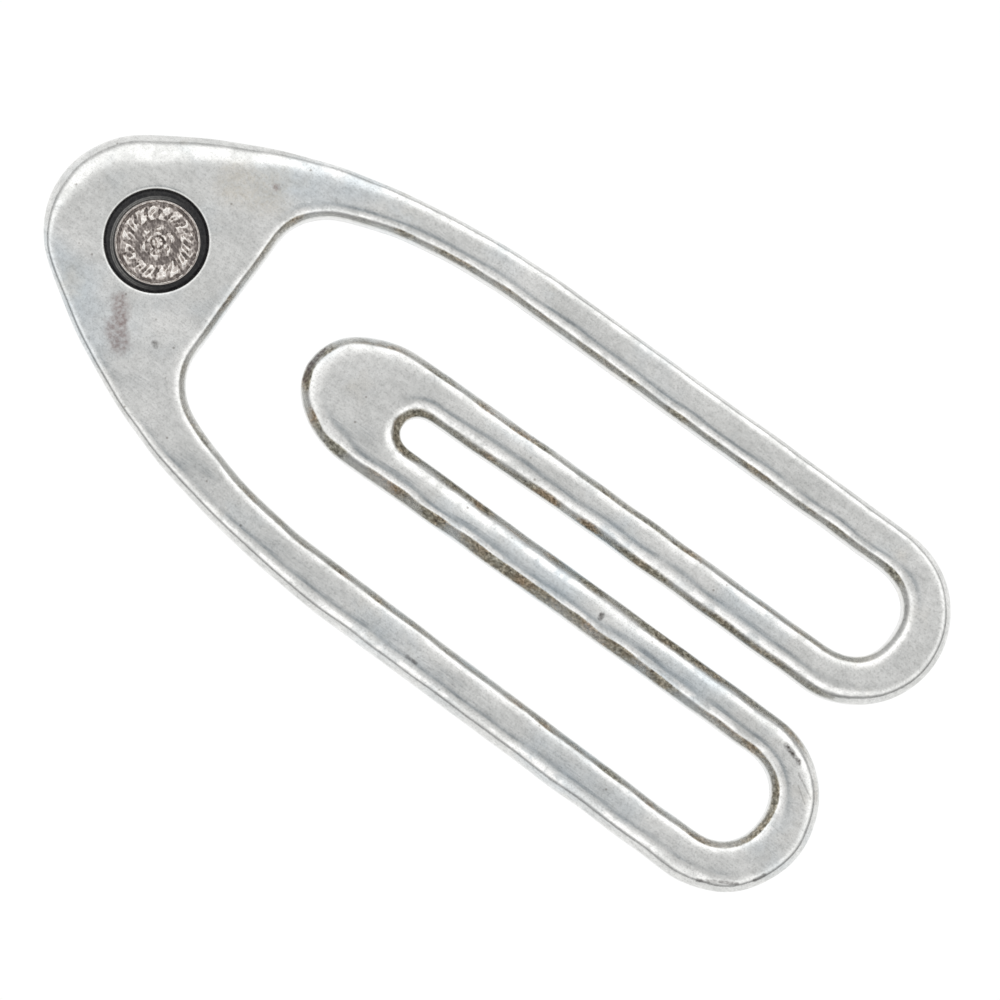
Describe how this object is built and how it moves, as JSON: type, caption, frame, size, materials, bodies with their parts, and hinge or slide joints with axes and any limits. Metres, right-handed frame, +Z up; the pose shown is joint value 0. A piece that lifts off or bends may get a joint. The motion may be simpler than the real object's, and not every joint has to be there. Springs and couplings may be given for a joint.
{
  "type": "money clip",
  "caption": "Flat silver money clip in a paper-clip outline: egg-shaped head with a round medallion, and a springy central tongue that grips folded bills against the outer loop.",
  "frame": {"origin": "middle of the clip's box, on the surface it lies on", "axes": "+X along the clip from the head to the return bends, +Y to the right with the head up and the medallion facing the viewer, +Z up out of the medallion's face"},
  "size_m": [0.0604, 0.0253, 0.0023],
  "materials": {
    "silver": "satin",
    "medallion_silver": "satin",
    "black_resin": "satin"
  },
  "bodies": {
    "loop": {"head_plate": "silver", "left_arm": "silver", "right_arm": "silver", "medallion_disc": "medallion_silver", "resin_bed": "black_resin"},
    "bends": {"left_return_bend": "silver", "right_return_bend": "silver"},
    "tongue": {"left_tongue_rail": "silver", "right_tongue_rail": "silver", "tongue_tip": "silver"}
  },
  "joints": [
    {"name": "arm_flex", "type": "hinge", "parent": "loop", "child": "bends", "pos_m": [0.016, 0, 0.0011], "axis": [0, 1, 0], "range_deg": [-3.1, 3.1], "stiffness_Nm_per_rad": 13.5},
    {"name": "tongue_flex", "type": "hinge", "parent": "bends", "child": "tongue", "pos_m": [0.016, 0, 0.0011], "axis": [0, 1, 0], "range_deg": [-3.1, 3.1], "stiffness_Nm_per_rad": 13.5}
  ]
}
